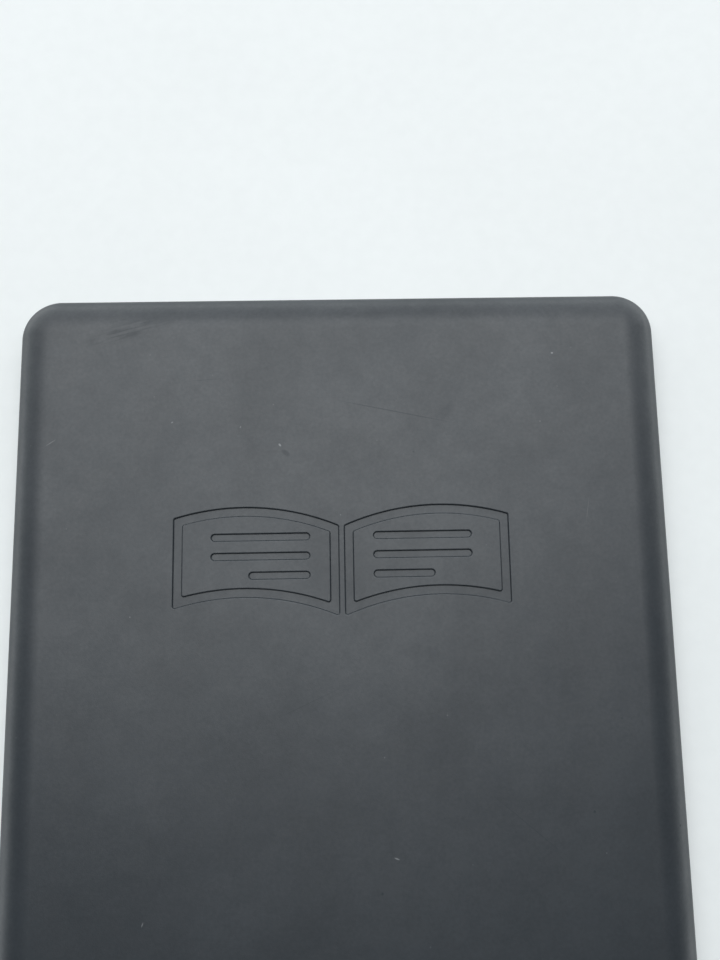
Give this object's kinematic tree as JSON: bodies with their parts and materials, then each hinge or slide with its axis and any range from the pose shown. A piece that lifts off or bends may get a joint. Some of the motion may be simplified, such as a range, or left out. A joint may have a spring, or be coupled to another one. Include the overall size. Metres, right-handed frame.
{
  "type": "e-reader",
  "caption": "Slim e-reader lying on its screen: soft-touch rear cover with rolled edges, front-lit electronic-paper screen, power button and charging socket on the bottom edge.",
  "frame": {"origin": "centre of the device's outline on the surface that it lies on, screen side down: the bezel's face is z = 0", "axes": "+Z out of the rear cover, +Y towards the device's top edge (away from the socket and button), +X to the right as seen from behind"},
  "size_m": [0.117, 0.169, 0.0091],
  "materials": {
    "soft_touch_cover": "soft-touch coated, fine matte grain",
    "bezel_plastic": "soft-touch coated, matte",
    "button_plastic": "satin",
    "adhesive": "thin black tape",
    "foam": "closed-cell foam",
    "touch_glass": "anti-glare",
    "light_guide": "clear moulded acrylic",
    "electronic_paper": "matte, paper-like",
    "display_glass": "polished edge",
    "silicon": "polished",
    "polyimide": "satin, amber",
    "led_package": "translucent",
    "frame_metal": "cast, bead-blasted",
    "screw_steel": "blackened steel",
    "circuit_board": "green solder mask",
    "chip_epoxy": "moulded epoxy",
    "ceramic_parts": "sintered",
    "ferrite": "pressed",
    "tinned_sheet": "tinned, bright",
    "connector_plastic": "ivory nylon",
    "black_plastic": "moulded nylon",
    "gold_contacts": "gold flash",
    "battery_foil": "laminated pouch",
    "insulating_film": "polyester film",
    "clear_acrylic": "frosted end",
    "lead_insulation": "extruded",
    "cable_jacket": "extruded",
    "copper_foil": "etched copper",
    "spring_steel": "polished"
  },
  "bodies": {
    "housing": {"rear_cover": "soft_touch_cover", "front_bezel": "bezel_plastic", "bezel_adhesive": "adhesive", "screen_gasket": "foam", "touch_panel": "touch_glass", "touch_flex": "polyimide", "light_guide": "light_guide", "light_bar_flex": "polyimide", "front_light_leds": "led_package", "display_film": "electronic_paper", "display_backplane": "display_glass", "display_driver_chip": "silicon", "display_flex": "polyimide", "display_adhesive": "adhesive", "mid_frame": "frame_metal", "chassis_screws": "screw_steel", "board_screws": "screw_steel", "battery_screws": "screw_steel", "main_board": "circuit_board", "processor": "chip_epoxy", "memory_chip": "chip_epoxy", "flash_chip": "chip_epoxy", "power_chip": "chip_epoxy", "touch_controller": "chip_epoxy", "hall_sensor": "chip_epoxy", "chip_passives": "ceramic_parts", "inductors": "ferrite", "crystals": "tinned_sheet", "shield_frame": "tinned_sheet", "shield_lid": "tinned_sheet", "wifi_module": "tinned_sheet", "board_insulator": "insulating_film", "cover_foam_pads": "foam", "touch_connector": "connector_plastic", "display_connector": "connector_plastic", "light_connector": "connector_plastic", "usb_shell": "tinned_sheet", "usb_tongue": "black_plastic", "usb_contacts": "gold_contacts", "switch_body": "black_plastic", "switch_dome": "spring_steel", "light_pipe": "clear_acrylic", "status_led": "led_package", "battery_cell": "battery_foil", "battery_tray": "black_plastic", "battery_circuit": "circuit_board", "battery_adhesive": "adhesive", "battery_socket": "connector_plastic", "battery_plug": "connector_plastic", "battery_leads": "lead_insulation", "wifi_antenna": "copper_foil", "antenna_plug": "gold_contacts", "antenna_cable": "cable_jacket"},
    "power_button": {"power_button": "button_plastic"},
    "switch_plunger": {"switch_plunger": "connector_plastic"},
    "touch_latch": {"touch_latch": "black_plastic"},
    "display_latch": {"display_latch": "black_plastic"},
    "light_latch": {"light_latch": "black_plastic"}
  },
  "joints": [
    {"name": "power_button_press", "type": "slide", "parent": "housing", "child": "power_button", "axis": [0, 1, 0], "range_m": [0, 0.0003], "stiffness_N_per_m": 5000},
    {"name": "switch_plunger_press", "type": "slide", "parent": "housing", "child": "switch_plunger", "axis": [0, 1, 0], "range_m": [0, 0.0003], "deforming": ["switch_dome"]},
    {"name": "touch_latch_hinge", "type": "hinge", "parent": "housing", "child": "touch_latch", "pos_m": [-0.034, -0.0612, 0.00657], "axis": [-1, 0, 0], "range_deg": [0, 90]},
    {"name": "display_latch_hinge", "type": "hinge", "parent": "housing", "child": "display_latch", "pos_m": [0.011, -0.0612, 0.00657], "axis": [-1, 0, 0], "range_deg": [0, 90]},
    {"name": "light_latch_hinge", "type": "hinge", "parent": "housing", "child": "light_latch", "pos_m": [0.039, -0.0612, 0.00657], "axis": [-1, 0, 0], "range_deg": [0, 90]}
  ],
  "couplings": [
    {"joint": "switch_plunger_press", "follows": "power_button_press", "ratio": 1}
  ]
}
